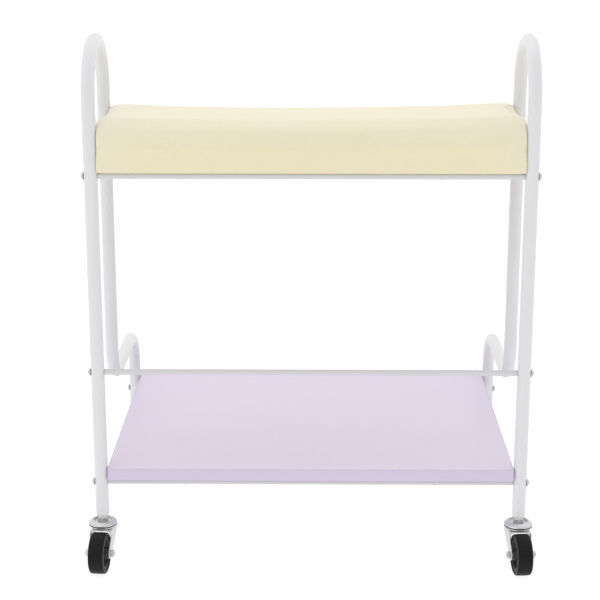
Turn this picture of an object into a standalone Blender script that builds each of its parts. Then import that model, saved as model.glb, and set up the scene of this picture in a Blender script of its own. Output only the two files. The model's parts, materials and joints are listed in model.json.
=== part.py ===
"""Rolling salon trolley: two bent-tube side frames, five cross rails, a padded top,
a flat shelf and four swivelling casters.

Metres, +Z up.  The origin lies on the floor, midway between the four legs.
-Y is the front, where the guard rail is, and +X is the trolley's right-hand side.
Run it with Blender's --background --python, or from its text editor.
"""

import math

import bmesh
import bpy
from mathutils import Matrix, Vector

# ---------------------------------------------------------------- driving dimensions
GAP = 0.0003                  # clearance between pieces that touch
LOOSE = 0.0005                # clearance round a bolt or a screw in its drilled hole
EDGE_BREAK = 0.0006           # broken edges on turned and pressed pieces

# side frames: one round tube each, bent in one plane
TUBE_D = 0.016
TUBE_WALL = 0.0012
FRAME_WIDTH = 0.505           # between the centres of the two side frames
FRAME_DEPTH = 0.358           # between the centres of the front and rear legs
SIDE_FRAME_HEIGHT = 0.572     # lower tube end to the top of the arch
ARCH_RADIUS = 0.065           # centreline radius of the arch over the cushion
STEP_FRONT_RADIUS = 0.045     # centreline radius where the second leg turns backwards
STEP_REAR_RADIUS = 0.052      # centreline radius where the step turns down to the rear leg

# heights on the side frames
SHELF_RAIL_UP = 0.042         # lower tube end to the shelf rails
GUARD_ABOVE_SHELF_RAIL = 0.1385
STEP_ABOVE_SHELF_RAIL = 0.0865
SEAT_RAIL_BELOW_TOP = 0.156   # top of the arch down to the cushion rails

# cross rails and the bolts in their ends
RAIL_D = 0.007
BOLT_D = 0.004
BOLT_GRIP = 0.010             # length of bolt inside a rail
BOLT_HEAD_D = 0.0095
BOLT_HEAD_HEIGHT = 0.0026
SOCKET_D = 0.0032             # hexagon socket in a bolt head
SOCKET_DEPTH = 0.0014

# screws that run up through the rails into the boards
SCREW_D = 0.003
SCREW_HEAD_D = 0.005
SCREW_HEAD_HEIGHT = 0.002
SCREW_FROM_RAIL_END = 0.094
CUSHION_SCREW_BITE = 0.0065
SHELF_SCREW_BITE = 0.010

# boards and padding
SHELF_THICKNESS = 0.015
CUSHION_BOARD_THICKNESS = 0.009
CUSHION_THICKNESS = 0.061     # board and padding together
CUSHION_OVERHANG = 0.008      # past the second legs, at the back
CUSHION_EDGE_RADIUS = 0.026
SHELF_EDGE_BREAK = 0.001
COVER_WRAP = 0.004            # padding and cover around the board's edge

# casters
WHEEL_D = 0.050
TYRE_WIDTH = 0.019
TYRE_THICKNESS = 0.006
TYRE_SHOULDER_DROP = 0.0032   # from the tread down to the widest place
TYRE_SHOULDER_WIDTH = 0.0034
HUB_WIDTH = 0.022
HUB_BOSS_WALL = 0.0035
HUB_BOSS_DRAFT = 0.001
HUB_WEB_HALF = 0.003
HUB_RIM_WALL = 0.0025
HUB_RIM_INSET = 0.0012        # the hub's rim lies inside the tyre's side
AXLE_D = 0.005
CASTER_TRAIL = 0.024          # swivel axis to axle
CASTER_TURN = math.radians(5.0)
FORK_PLATE = 0.0016
FORK_SIDE_CLEARANCE = 0.001
FORK_BOSS_RADIUS = 0.0065
FORK_LEG_INSET = 0.001        # each leg edge inside the raceway's rim
FORK_KNEE_DROP = 0.0082       # crown's underside down to where the legs taper
CROWN_PLATE = 0.0016
WHEEL_TO_CROWN = 0.0009       # tyre to the crown's front edge, which the tyre rises past
RACE_D = 0.0344
RACE_HEIGHT = 0.0026
RACE_GROOVE = 0.0006
RACE_GROOVE_DEPTH = 0.0011
SWIVEL_GAP = 0.0005
CAP_HEIGHT = 0.0052
CAP_RIM = 0.0016              # upright part of the rim
CAP_SHOULDER = 0.0011
CAP_SLOPE = 0.0045            # rim inwards to the flat top
CAP_LIP = 0.0008
CAP_RECESS_D = 0.022          # round hollow that the stem's collar stands in
CAP_RECESS_DEPTH = 0.0028
STEM_D = 0.008
STEM_COLLAR_FLATS = 0.0116
STEM_COLLAR_HEIGHT = 0.004
STEM_LENGTH = 0.026           # inside the tube
STEM_TIP = 0.001
RIVET_RIM = 0.002             # riveted head's overhang past the stem
RIVET_HEIGHT = 0.0014
SOCKET_LENGTH = 0.028         # inside the tube
SOCKET_COLLAR_HEIGHT = 0.0049
AXLE_FLATS = 0.008
AXLE_HEAD_HEIGHT = 0.003
AXLE_NUT_HEIGHT = 0.004
AXLE_TIP = 0.001
AXLE_CHAMFER = 0.0005

# how many flat sides stand for a round one
TUBE_SIDES = 12
TYRE_SIDES = 24
ROUND_SIDES = 16
HEX_SIDES = 12
THIN_SIDES = 8
BEND_STEP = 15                # degrees of a tube's bend in one facet
SMOOTH_BELOW = math.radians(35)
WELD = 0.00001                # vertices this close are one

# ------------------------------------------------------------------- worked-out places
TUBE_R = TUBE_D / 2
RAIL_R = RAIL_D / 2
BOLT_R = BOLT_D / 2
FRAME_X = FRAME_WIDTH / 2
INNER_X = FRAME_X - TUBE_R - GAP
FRONT_Y = -FRAME_DEPTH / 2
REAR_Y = FRAME_DEPTH / 2
SECOND_LEG_Y = FRONT_Y + 2 * ARCH_RADIUS

AXLE_Z = WHEEL_D / 2
CROWN_REACH = RACE_D / 2 - FORK_LEG_INSET
CROWN_BOTTOM = AXLE_Z + math.sqrt(AXLE_Z ** 2 - (CASTER_TRAIL - CROWN_REACH) ** 2) + WHEEL_TO_CROWN
CROWN_TOP = CROWN_BOTTOM + CROWN_PLATE
RACE_TOP = CROWN_TOP + RACE_HEIGHT
CAP_BOTTOM = RACE_TOP + SWIVEL_GAP
CAP_TOP = CAP_BOTTOM + CAP_HEIGHT
CAP_FLOOR = CAP_TOP - CAP_RECESS_DEPTH
COLLAR_BOTTOM = CAP_FLOOR + GAP
COLLAR_TOP = COLLAR_BOTTOM + STEM_COLLAR_HEIGHT
TUBE_END_Z = COLLAR_TOP + GAP + SOCKET_COLLAR_HEIGHT + GAP

FRAME_TOP = TUBE_END_Z + SIDE_FRAME_HEIGHT
SHELF_RAIL_Z = TUBE_END_Z + SHELF_RAIL_UP
GUARD_RAIL_Z = SHELF_RAIL_Z + GUARD_ABOVE_SHELF_RAIL
STEP_Z = SHELF_RAIL_Z + STEP_ABOVE_SHELF_RAIL
SEAT_RAIL_Z = FRAME_TOP - SEAT_RAIL_BELOW_TOP
SHELF_Z = SHELF_RAIL_Z + RAIL_R + GAP
CUSHION_Z = SEAT_RAIL_Z + RAIL_R + GAP
RAIL_HALF = INNER_X
SCREW_X = RAIL_HALF - SCREW_FROM_RAIL_END

# ------------------------------------------------------------------------- materials
MATERIALS = {
    "white_powder_coat": ((0.78, 0.78, 0.79), 0.38, 0.0),
    "zinc_plate": ((0.72, 0.73, 0.74), 0.28, 1.0),
    "cream_vinyl": ((0.81, 0.74, 0.55), 0.45, 0.0),
    "lilac_board": ((0.73, 0.68, 0.80), 0.42, 0.0),
    "plywood": ((0.58, 0.42, 0.25), 0.70, 0.0),
    "white_nylon": ((0.80, 0.80, 0.79), 0.45, 0.0),
    "black_nylon": ((0.02, 0.02, 0.02), 0.40, 0.0),
    "black_rubber": ((0.025, 0.025, 0.027), 0.60, 0.0),
}


def material(name):
    """The Principled material of that name, made once."""
    found = bpy.data.materials.get(name)
    if found:
        return found
    colour, roughness, metallic = MATERIALS[name]
    made = bpy.data.materials.new(name)
    made.use_nodes = True
    shader = made.node_tree.nodes["Principled BSDF"]
    shader.inputs["Base Color"].default_value = (*colour, 1.0)
    shader.inputs["Roughness"].default_value = roughness
    shader.inputs["Metallic"].default_value = metallic
    return made


# -------------------------------------------------------------------- modelling tools
def clear_scene():
    for old in list(bpy.data.objects):
        bpy.data.objects.remove(old, do_unlink=True)


def add_object(name, bm, finish, smooth=True):
    """Turn a bmesh into a named object with one material."""
    bmesh.ops.recalc_face_normals(bm, faces=bm.faces)
    mesh = bpy.data.meshes.new(name)
    bm.to_mesh(mesh)
    bm.free()
    if smooth:
        mesh.shade_smooth()
        mesh.set_sharp_from_angle(angle=SMOOTH_BELOW)
    mesh.materials.append(material(finish))
    made = bpy.data.objects.new(name, mesh)
    bpy.context.collection.objects.link(made)
    return made


def turned(profile, sides, hex_span=None):
    """A closed profile of (radius, height) points spun about Z.

    Points whose height lies inside hex_span are drawn in to a hexagon whose corners
    are at their radius.
    """
    bm = bmesh.new()
    verts = [bm.verts.new((radius, 0, height)) for radius, height in profile]
    pairs = zip(verts, verts[1:] + verts[:1])
    edges = [bm.edges.new(pair) for pair in pairs if pair[0].co.x + pair[1].co.x > 0]
    bmesh.ops.spin(bm, geom=verts + edges, cent=(0, 0, 0), axis=(0, 0, 1), dvec=(0, 0, 0),
                   angle=math.tau, steps=sides, use_duplicate=False)
    bmesh.ops.remove_doubles(bm, verts=bm.verts, dist=WELD)
    if hex_span:
        low, high, least_radius = hex_span
        for vert in bm.verts:
            radius = math.hypot(vert.co.x, vert.co.y)
            if low <= vert.co.z <= high and radius > least_radius:
                turn = math.atan2(vert.co.y, vert.co.x) % (math.pi / 3) - math.pi / 6
                factor = math.cos(math.pi / 6) / math.cos(turn)
                vert.co.x *= factor
                vert.co.y *= factor
    return bm


def arc(centre, radius, start, end, steps):
    """Points on an arc, angles in degrees."""
    points = []
    for index in range(steps + 1):
        angle = math.radians(start + (end - start) * index / steps)
        points.append((centre[0] + radius * math.cos(angle),
                       centre[1] + radius * math.sin(angle)))
    return points


def box(low, high):
    bm = bmesh.new()
    bmesh.ops.create_cube(bm, size=1.0)
    size = Vector(high) - Vector(low)
    middle = (Vector(high) + Vector(low)) / 2
    bmesh.ops.scale(bm, vec=size, verts=bm.verts)
    bmesh.ops.translate(bm, vec=middle, verts=bm.verts)
    return bm


def prism(outline, low, high):
    """An outline of (y, z) points extruded along X."""
    bm = bmesh.new()
    face = bm.faces.new([bm.verts.new((low, y, z)) for y, z in outline])
    moved = bmesh.ops.extrude_face_region(bm, geom=[face])["geom"]
    corners = [item for item in moved if isinstance(item, bmesh.types.BMVert)]
    bmesh.ops.translate(bm, vec=(high - low, 0, 0), verts=corners)
    return bm


def rod(start, end, radius, sides=THIN_SIDES):
    """A plain round rod between two points, with a facet and not an edge facing along Y."""
    start, end = Vector(start), Vector(end)
    along = end - start
    bm = bmesh.new()
    lie = Matrix.Translation((start + end) / 2) @ along.to_track_quat("Z", "Y").to_matrix().to_4x4()
    lie = lie @ Matrix.Rotation(math.pi / sides, 4, "Z")
    bmesh.ops.create_cone(bm, cap_ends=True, segments=sides, radius1=radius, radius2=radius,
                          depth=along.length, matrix=lie)
    return bm


def boolean(target, bm, operation="DIFFERENCE"):
    """Cut with, or add, a helper shape that stays in the file as a wire guide."""
    helper = add_object("guide_" + target.name, bm, "zinc_plate", smooth=False)
    helper.display_type = "WIRE"
    helper.hide_render = True
    helper.parent = target
    step = target.modifiers.new(operation.lower(), "BOOLEAN")
    step.operation = operation
    step.object = helper
    step.solver = "EXACT"


# ------------------------------------------------------------------------ side frames
def bent_tube(start, moves):
    """A round hollow tube drawn as a bender makes it, in a plane across X.

    It starts upwards at the point start.  A move is (length,) for a straight run, or
    (degrees, radius) for a bend: a positive bend turns the tube from +Z towards +Y.
    """
    bm = bmesh.new()
    loops = []
    for radius in (TUBE_R, TUBE_R - TUBE_WALL):
        ring = bmesh.ops.create_circle(bm, cap_ends=False, segments=TUBE_SIDES, radius=radius)
        bmesh.ops.translate(bm, vec=start, verts=ring["verts"])
        loops.append(list({edge for vert in ring["verts"] for edge in vert.link_edges}))
    first_loops = list(loops)
    position = Vector(start)
    heading = Vector((0, 0, 1))
    for loop_index, loop in enumerate(loops):
        here, way = position.copy(), heading.copy()
        for move in moves:
            if len(move) == 1:
                made = bmesh.ops.extrude_edge_only(bm, edges=loop)["geom"]
                shift = way * move[0]
                bmesh.ops.translate(bm, vec=shift,
                                    verts=[g for g in made if isinstance(g, bmesh.types.BMVert)])
                here += shift
            else:
                degrees, radius = move
                side = Vector((0, way.z, -way.y)) * math.copysign(1, degrees)
                centre = here + side * radius
                steps = round(abs(degrees) / BEND_STEP)
                turn = math.radians(-degrees)
                made = bmesh.ops.spin(bm, geom=loop, cent=centre, axis=(1, 0, 0), dvec=(0, 0, 0),
                                      angle=turn, steps=steps, use_duplicate=False)["geom_last"]
                spun = Matrix.Rotation(turn, 3, "X")
                here = centre + spun @ (here - centre)
                way = spun @ way
            loop = [g for g in made if isinstance(g, bmesh.types.BMEdge)]
        loops[loop_index] = loop
    close_tube_end(bm, *first_loops)
    close_tube_end(bm, *loops)
    return bm


def close_tube_end(bm, outer, inner):
    """Flat faces across the tube's wall, each outer edge joined to the inner edge beside it."""
    ring = {vert for edge in inner for vert in edge.verts}
    for edge in outer:
        first, last = edge.verts
        near_first = min(ring, key=lambda vert: (vert.co - first.co).length)
        near_last = min(ring, key=lambda vert: (vert.co - last.co).length)
        bm.faces.new((first, last, near_last, near_first))


def make_side_frame(name, x):
    post = SIDE_FRAME_HEIGHT - TUBE_R - ARCH_RADIUS
    moves = [
        (post,),
        (180, ARCH_RADIUS),
        (TUBE_END_Z + post - STEP_Z - STEP_FRONT_RADIUS,),
        (-90, STEP_FRONT_RADIUS),
        (REAR_Y - STEP_REAR_RADIUS - SECOND_LEG_Y - STEP_FRONT_RADIUS,),
        (90, STEP_REAR_RADIUS),
        (STEP_Z - STEP_REAR_RADIUS - TUBE_END_Z,),
    ]
    frame = add_object(name, bent_tube((x, FRONT_Y, TUBE_END_Z), moves), "white_powder_coat")
    for y, z in RAIL_PLACES.values():
        boolean(frame, rod((x - TUBE_D, y, z), (x + TUBE_D, y, z), BOLT_R + LOOSE))


# --------------------------------------------------------------------- rails and bolts
RAIL_PLACES = {
    "top_front_rail": (FRONT_Y, SEAT_RAIL_Z),
    "top_rear_rail": (SECOND_LEG_Y, SEAT_RAIL_Z),
    "guard_rail": (FRONT_Y, GUARD_RAIL_Z),
    "shelf_front_rail": (FRONT_Y, SHELF_RAIL_Z),
    "shelf_rear_rail": (REAR_Y, SHELF_RAIL_Z),
}
ALONG_X = Matrix.Rotation(math.pi / 2, 4, "Y")


def make_rail(name, y, z):
    """A solid rod with a threaded hole, drawn plain, in each end."""
    hole = BOLT_R + GAP
    deep = RAIL_HALF - BOLT_GRIP - GAP
    profile = [(0, -deep), (hole, -deep), (hole, -RAIL_HALF), (RAIL_R, -RAIL_HALF),
               (RAIL_R, RAIL_HALF), (hole, RAIL_HALF), (hole, deep), (0, deep)]
    bm = turned(profile, THIN_SIDES)
    bmesh.ops.transform(bm, matrix=Matrix.Translation((0, y, z)) @ ALONG_X, verts=bm.verts)
    rail = add_object(name, bm, "white_powder_coat")
    if name == "guard_rail":
        return
    seat = z - RAIL_R + SCREW_HEAD_HEIGHT
    for side in (-1, 1):
        x = side * SCREW_X
        boolean(rail, rod((x, y, z - RAIL_D), (x, y, z + RAIL_D), SCREW_D / 2 + LOOSE))
        boolean(rail, rod((x, y, z - RAIL_D), (x, y, seat + GAP), SCREW_HEAD_D / 2 + LOOSE))


def make_rail_bolt(name, side, y, z):
    """A domed bolt with a hexagon socket, run through the tube into the rail's end."""
    seat = FRAME_X + TUBE_R + GAP
    tip = RAIL_HALF - BOLT_GRIP
    rim = BOLT_HEAD_D / 2
    bed = BOLT_HEAD_HEIGHT
    dome = [(rim * y, bed * z) for y, z in arc((0, 0), 1, 20, 70, 2)]
    profile = [(0, tip - seat), (BOLT_R, tip - seat), (BOLT_R, 0), (rim, 0)]
    profile += dome
    profile += [(SOCKET_D / 2, bed), (SOCKET_D / 2, bed - SOCKET_DEPTH), (0, bed - SOCKET_DEPTH)]
    bm = turned(profile, THIN_SIDES)
    way = Matrix.Rotation(side * math.pi / 2, 4, "Y")
    bmesh.ops.transform(bm, matrix=Matrix.Translation((side * seat, y, z)) @ way, verts=bm.verts)
    add_object(name, bm, "zinc_plate")


def make_board_screw(name, x, y, rail_z, bite):
    """A screw whose head lies flush in the rail's underside."""
    bottom = rail_z - RAIL_R
    shank = SCREW_D / 2
    head = SCREW_HEAD_D / 2
    length = RAIL_D + GAP + bite
    profile = [(0, 0), (head, 0), (head, SCREW_HEAD_HEIGHT), (shank, SCREW_HEAD_HEIGHT),
               (shank, length - SCREW_D), (0, length)]
    bm = turned(profile, THIN_SIDES)
    bmesh.ops.translate(bm, vec=(x, y, bottom), verts=bm.verts)
    add_object(name, bm, "zinc_plate")


def drill_for_screw(board, x, y, bottom, bite):
    hole = rod((x, y, bottom - SCREW_D), (x, y, bottom + bite + GAP), SCREW_D / 2 + LOOSE)
    boolean(board, hole)


# ---------------------------------------------------------------------------- boards
def make_shelf():
    low = (-INNER_X, FRONT_Y - TUBE_R, SHELF_Z)
    high = (INNER_X, REAR_Y + TUBE_R, SHELF_Z + SHELF_THICKNESS)
    shelf = add_object("shelf_board", box(low, high), "lilac_board", smooth=False)
    edges = shelf.modifiers.new("edges", "BEVEL")
    edges.width = SHELF_EDGE_BREAK
    edges.segments = 1
    for side in (-1, 1):
        for y in (FRONT_Y, REAR_Y):
            drill_for_screw(shelf, side * SCREW_X, y, SHELF_Z, SHELF_SCREW_BITE)


def make_cushion():
    """The upholstered top: a board, let into the underside of its padding."""
    front = FRONT_Y - TUBE_R
    rear = SECOND_LEG_Y + TUBE_R + CUSHION_OVERHANG
    board_low = Vector((-INNER_X + COVER_WRAP, front + COVER_WRAP, CUSHION_Z))
    board_high = Vector((INNER_X - COVER_WRAP, rear - COVER_WRAP, CUSHION_Z + CUSHION_BOARD_THICKNESS))
    board = add_object("cushion_board", box(board_low, board_high), "plywood", smooth=False)
    for side in (-1, 1):
        for y in (FRONT_Y, SECOND_LEG_Y):
            drill_for_screw(board, side * SCREW_X, y, CUSHION_Z, CUSHION_SCREW_BITE)

    top = CUSHION_Z + CUSHION_THICKNESS
    bm = box((-INNER_X, front, CUSHION_Z), (INNER_X, rear, top))
    upper = [e for e in bm.edges if all(v.co.z > top - GAP for v in e.verts)]
    bmesh.ops.bevel(bm, geom=upper, offset=CUSHION_EDGE_RADIUS, segments=5, affect="EDGES", profile=0.5)
    pad = add_object("cushion_pad", bm, "cream_vinyl")
    room = Vector((GAP, GAP, GAP))
    boolean(pad, box(board_low - room - Vector((0, 0, COVER_WRAP)), board_high + room))


# --------------------------------------------------------------------------- casters
def make_socket(name, at):
    """The nylon plug in a leg's end: a shank in the tube and a tapered collar below it."""
    shank = TUBE_R - TUBE_WALL - GAP
    neck = STEM_COLLAR_FLATS / 2
    bore = STEM_D / 2 + GAP
    collar = TUBE_END_Z - GAP
    profile = [(bore, COLLAR_TOP + GAP), (neck, COLLAR_TOP + GAP), (TUBE_R, collar), (shank, collar),
               (shank, TUBE_END_Z + SOCKET_LENGTH), (bore, TUBE_END_Z + SOCKET_LENGTH)]
    add_object(name, turned(profile, TUBE_SIDES), "white_nylon").matrix_world = at


def make_stem(name, at):
    """The kingpin: a stem for the socket, a hexagon collar, and a riveted head under the crown."""
    pin = STEM_D / 2
    corner = STEM_COLLAR_FLATS / 2 / math.cos(math.pi / 6)
    rivet_top = CROWN_BOTTOM - GAP
    rivet_low = rivet_top - RIVET_HEIGHT
    top = TUBE_END_Z + STEM_LENGTH
    rivet = pin + RIVET_RIM
    profile = [(0, rivet_low), (pin, rivet_low), (rivet, rivet_low + EDGE_BREAK), (rivet, rivet_top),
               (pin, rivet_top), (pin, COLLAR_BOTTOM), (corner, COLLAR_BOTTOM), (corner, COLLAR_TOP),
               (pin, COLLAR_TOP), (pin, top - STEM_TIP), (pin - STEM_TIP, top), (0, top)]
    spans = (COLLAR_BOTTOM - GAP, COLLAR_TOP + GAP, pin + GAP)
    add_object(name, turned(profile, HEX_SIDES, spans), "zinc_plate").matrix_world = at


def make_cap(name, at):
    """The upper raceway cap, fixed to the stem, with a round recess for the collar."""
    rim = RACE_D / 2
    bore = STEM_D / 2 + GAP
    recess = CAP_RECESS_D / 2
    shoulder = CAP_BOTTOM + CAP_RIM
    profile = [(bore, CAP_BOTTOM), (rim - EDGE_BREAK, CAP_BOTTOM), (rim, CAP_BOTTOM + EDGE_BREAK),
               (rim, shoulder), (rim - CAP_SHOULDER, shoulder + CAP_SHOULDER),
               (rim - CAP_SLOPE, CAP_TOP - EDGE_BREAK), (recess + CAP_LIP, CAP_TOP),
               (recess, CAP_TOP - EDGE_BREAK), (recess, CAP_FLOOR), (bore, CAP_FLOOR)]
    add_object(name, turned(profile, ROUND_SIDES), "zinc_plate").matrix_world = at


def touching_angle(point, centre, radius, side):
    """Where a line from a point touches a circle, as an angle on it in degrees."""
    away = math.atan2(point[1] - centre[1], point[0] - centre[0])
    return math.degrees(away + side * math.acos(radius / math.dist(point, centre)))


def fork_leg_outline():
    """Side view of a fork leg as (y, z): wide at the crown, then tapered to its round boss."""
    top = CROWN_BOTTOM + CROWN_PLATE / 2
    reach = CROWN_REACH
    knee = CROWN_BOTTOM - FORK_KNEE_DROP
    axle = (-CASTER_TRAIL, AXLE_Z)
    start = touching_angle((-reach, knee), axle, FORK_BOSS_RADIUS, 1)
    end = touching_angle((reach, knee), axle, FORK_BOSS_RADIUS, -1) + 360
    boss = arc(axle, FORK_BOSS_RADIUS, start, end, 7)
    return [(-reach, top), (-reach, knee)] + boss + [(reach, knee), (reach, top)]


def make_fork(name, at):
    """A pressed crown with its raceway drum on top and two tapered legs."""
    inner = HUB_WIDTH / 2 + FORK_SIDE_CLEARANCE
    outer = inner + FORK_PLATE
    rim = RACE_D / 2
    bore = STEM_D / 2 + GAP
    edge = rim - EDGE_BREAK
    throat = rim - RACE_GROOVE_DEPTH
    groove_top = CROWN_TOP + RACE_GROOVE
    drum = [(bore, CROWN_BOTTOM), (edge, CROWN_BOTTOM), (edge, CROWN_TOP), (throat, CROWN_TOP),
            (throat, groove_top), (rim, groove_top), (rim, RACE_TOP - EDGE_BREAK), (edge, RACE_TOP),
            (bore, RACE_TOP)]
    fork = add_object(name, turned(drum, ROUND_SIDES), "zinc_plate")
    for side in (-1, 1):
        boolean(fork, prism(fork_leg_outline(), side * inner, side * outer), "UNION")
    past = outer + FORK_PLATE
    boolean(fork, rod((-past, -CASTER_TRAIL, AXLE_Z), (past, -CASTER_TRAIL, AXLE_Z),
                      AXLE_D / 2 + LOOSE, HEX_SIDES))
    fork.matrix_world = at


def hexagon_profile(flats, low, high):
    """Foot, side and chamfer of a hexagon head as (radius of its corners, height)."""
    corner = flats / 2 / math.cos(math.pi / 6)
    return [(corner, low), (corner, high - AXLE_CHAMFER), (corner - AXLE_CHAMFER, high)]


def make_axle(prefix, at, nut_side):
    """The axle bolt, with its hexagon head outside and its nut inside the trolley."""
    outer = HUB_WIDTH / 2 + FORK_SIDE_CLEARANCE + FORK_PLATE
    pin = AXLE_D / 2
    seat = outer + GAP
    end = seat + AXLE_NUT_HEIGHT + AXLE_TIP
    bolt = [(0, -end), (pin, -end), (pin, seat)]
    bolt += hexagon_profile(AXLE_FLATS, seat, seat + AXLE_HEAD_HEIGHT)
    bolt += [(0, seat + AXLE_HEAD_HEIGHT)]
    span = (seat - GAP, end + AXLE_HEAD_HEIGHT, pin + GAP)
    head_way = Matrix.Rotation(-nut_side * math.pi / 2, 4, "Y")
    to_side = at @ Matrix.Translation((0, -CASTER_TRAIL, AXLE_Z)) @ head_way
    made = add_object(prefix + "_axle_bolt", turned(bolt, HEX_SIDES, span), "zinc_plate")
    made.matrix_world = to_side
    hole = pin + GAP
    nut = [(hole, -seat - AXLE_NUT_HEIGHT)]
    nut += [(radius, -height) for radius, height in
            reversed(hexagon_profile(AXLE_FLATS, seat, seat + AXLE_NUT_HEIGHT))]
    nut += [(hole, -seat)]
    span = (-end, -seat + GAP, hole + GAP)
    made = add_object(prefix + "_axle_nut", turned(nut, HEX_SIDES, span), "zinc_plate")
    made.matrix_world = to_side


def make_wheel(prefix, at):
    """A nylon hub with a recessed web, and the tyre round it."""
    across = at @ Matrix.Translation((0, -CASTER_TRAIL, AXLE_Z)) @ ALONG_X
    tread = WHEEL_D / 2
    half = TYRE_WIDTH / 2
    seat = tread - TYRE_THICKNESS
    bore = AXLE_D / 2 + GAP
    boss = bore + HUB_BOSS_WALL
    rim = seat - HUB_RIM_WALL
    face = HUB_WIDTH / 2 - GAP
    edge = half - HUB_RIM_INSET
    side = [(bore, face), (boss, face), (boss + HUB_BOSS_DRAFT, HUB_WEB_HALF), (rim, HUB_WEB_HALF),
            (rim, edge), (seat - GAP, edge)]
    hub = side + [(radius, -height) for radius, height in reversed(side)]
    made = add_object(prefix + "_wheel_hub", turned(hub, ROUND_SIDES), "black_nylon")
    made.matrix_world = across
    shoulder = [(seat, half - EDGE_BREAK), (tread - TYRE_SHOULDER_DROP, half),
                (tread, half - TYRE_SHOULDER_WIDTH)]
    tyre = shoulder + [(radius, -height) for radius, height in reversed(shoulder)]
    made = add_object(prefix + "_tyre", turned(tyre, TYRE_SIDES), "black_rubber")
    made.matrix_world = across


def make_caster(prefix, side, end):
    """One caster under a leg: side is -1 left or 1 right, end is -1 front or 1 rear."""
    y = FRONT_Y if end < 0 else REAR_Y
    upright = Matrix.Translation((side * FRAME_X, y, 0))
    turn = side * CASTER_TURN if end < 0 else math.pi - side * CASTER_TURN
    swung = upright @ Matrix.Rotation(turn, 4, "Z")
    make_socket(prefix + "_socket", upright)
    make_stem(prefix + "_stem", upright)
    make_cap(prefix + "_cap", upright)
    make_fork(prefix + "_fork", swung)
    make_axle(prefix, swung, nut_side=side * end)
    make_wheel(prefix, swung)


# --------------------------------------------------------------------------- trolley
SIDES = (("left", -1), ("right", 1))


def main():
    clear_scene()
    for side_name, side in SIDES:
        make_side_frame("side_frame_" + side_name, side * FRAME_X)
    for rail, (y, z) in RAIL_PLACES.items():
        make_rail(rail, y, z)
        for side_name, side in SIDES:
            make_rail_bolt(rail.replace("rail", "bolt_") + side_name, side, y, z)
    make_shelf()
    make_cushion()
    for side_name, side in SIDES:
        for end_name, y in (("front", FRONT_Y), ("rear", SECOND_LEG_Y)):
            make_board_screw("cushion_screw_" + end_name + "_" + side_name, side * SCREW_X, y,
                             SEAT_RAIL_Z, CUSHION_SCREW_BITE)
        for end_name, y in (("front", FRONT_Y), ("rear", REAR_Y)):
            make_board_screw("shelf_screw_" + end_name + "_" + side_name, side * SCREW_X, y,
                             SHELF_RAIL_Z, SHELF_SCREW_BITE)
        for end_name, end in (("front", -1), ("rear", 1)):
            make_caster("caster_" + end_name + "_" + side_name, side, end)


if __name__ == "__main__":
    main()
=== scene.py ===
"""Rolling salon trolley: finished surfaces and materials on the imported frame.

Two bent-tube side frames, five cross rails with domed bolts, an upholstered cushion,
a laminated shelf and four swivel casters.  Metres, +Z up, -Y is the front.
"""

import json
import math

import bpy
import numpy as np
from bpy.props import FloatProperty, FloatVectorProperty, PointerProperty
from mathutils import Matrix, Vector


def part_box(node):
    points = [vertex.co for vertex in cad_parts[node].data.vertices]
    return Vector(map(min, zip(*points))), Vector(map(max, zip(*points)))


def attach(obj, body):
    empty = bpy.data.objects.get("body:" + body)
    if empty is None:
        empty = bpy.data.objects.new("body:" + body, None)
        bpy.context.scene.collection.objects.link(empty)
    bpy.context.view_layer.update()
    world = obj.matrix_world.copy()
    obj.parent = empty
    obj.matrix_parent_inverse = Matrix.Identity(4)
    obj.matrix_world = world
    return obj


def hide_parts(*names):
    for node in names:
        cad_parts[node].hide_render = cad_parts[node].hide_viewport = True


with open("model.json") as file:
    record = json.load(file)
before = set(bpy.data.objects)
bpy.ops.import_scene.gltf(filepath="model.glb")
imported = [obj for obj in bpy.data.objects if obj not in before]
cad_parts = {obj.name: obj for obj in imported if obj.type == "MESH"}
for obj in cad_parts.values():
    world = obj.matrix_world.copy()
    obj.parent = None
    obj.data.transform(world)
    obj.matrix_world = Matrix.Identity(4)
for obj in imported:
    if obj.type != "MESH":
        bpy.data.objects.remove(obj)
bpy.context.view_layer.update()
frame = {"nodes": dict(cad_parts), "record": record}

bl_info = {
    "name": "Salon trolley",
    "version": (1, 0, 0),
    "blender": (4, 5, 0),
    "location": "3D View > Sidebar > Trolley",
    "description": "Builds the finished surfaces of a rolling salon trolley",
    "category": "Object",
}

ENDS = ("front", "rear")
SIDES = ("left", "right")
RAILS = ("top_front", "top_rear", "guard", "shelf_front", "shelf_rear")
SIGN = {"left": -1, "right": 1}

CLEARANCE = 0.0003      # round a pin in its hole, and under a seated head
FOAM_INSET = 0.0014     # how far the foam lies inside the blown-up cover
CLOTH_GRID = 0.0035     # spacing of the cloth's points
CLOTH_PRESSURE = 4.0    # from inside the cushion
CLOTH_TRAVEL = 0.0036   # the most that a point of the cover moves
CLOTH_FADE = 0.020      # height above the board over which the cover comes free
HEM_SHEET = 0.0002      # how far the turned-in cover reaches below the board

LENS_MM, SENSOR_MM = 91.24, 36.0
CAMERA_ASIDE, CAMERA_BACK, CAMERA_HEIGHT = 0.0043, 1.7153, 0.8013
CAMERA_TILT, CAMERA_TURN = 15.18, 0.565     # degrees below level, and to the left
LOOKED_AT = (0, 0, 0.3)
FLOOR_REACH = 9.0


def corners(node):
    """Lowest and highest corner of a CAD node, as arrays."""
    low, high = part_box(node)
    return np.array(low, float), np.array(high, float)


def middle(node):
    low, high = corners(node)
    return (low + high) / 2


# ------------------------------------------------------------------ sizes and colours
def metres(name, default, description):
    return FloatProperty(name=name, description=description, default=default, min=0.0,
                         unit="LENGTH", precision=5)


def tint(name, default, description):
    return FloatVectorProperty(name=name, description=description, default=default, size=3,
                               min=0.0, max=1.0, subtype="COLOR")


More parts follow.
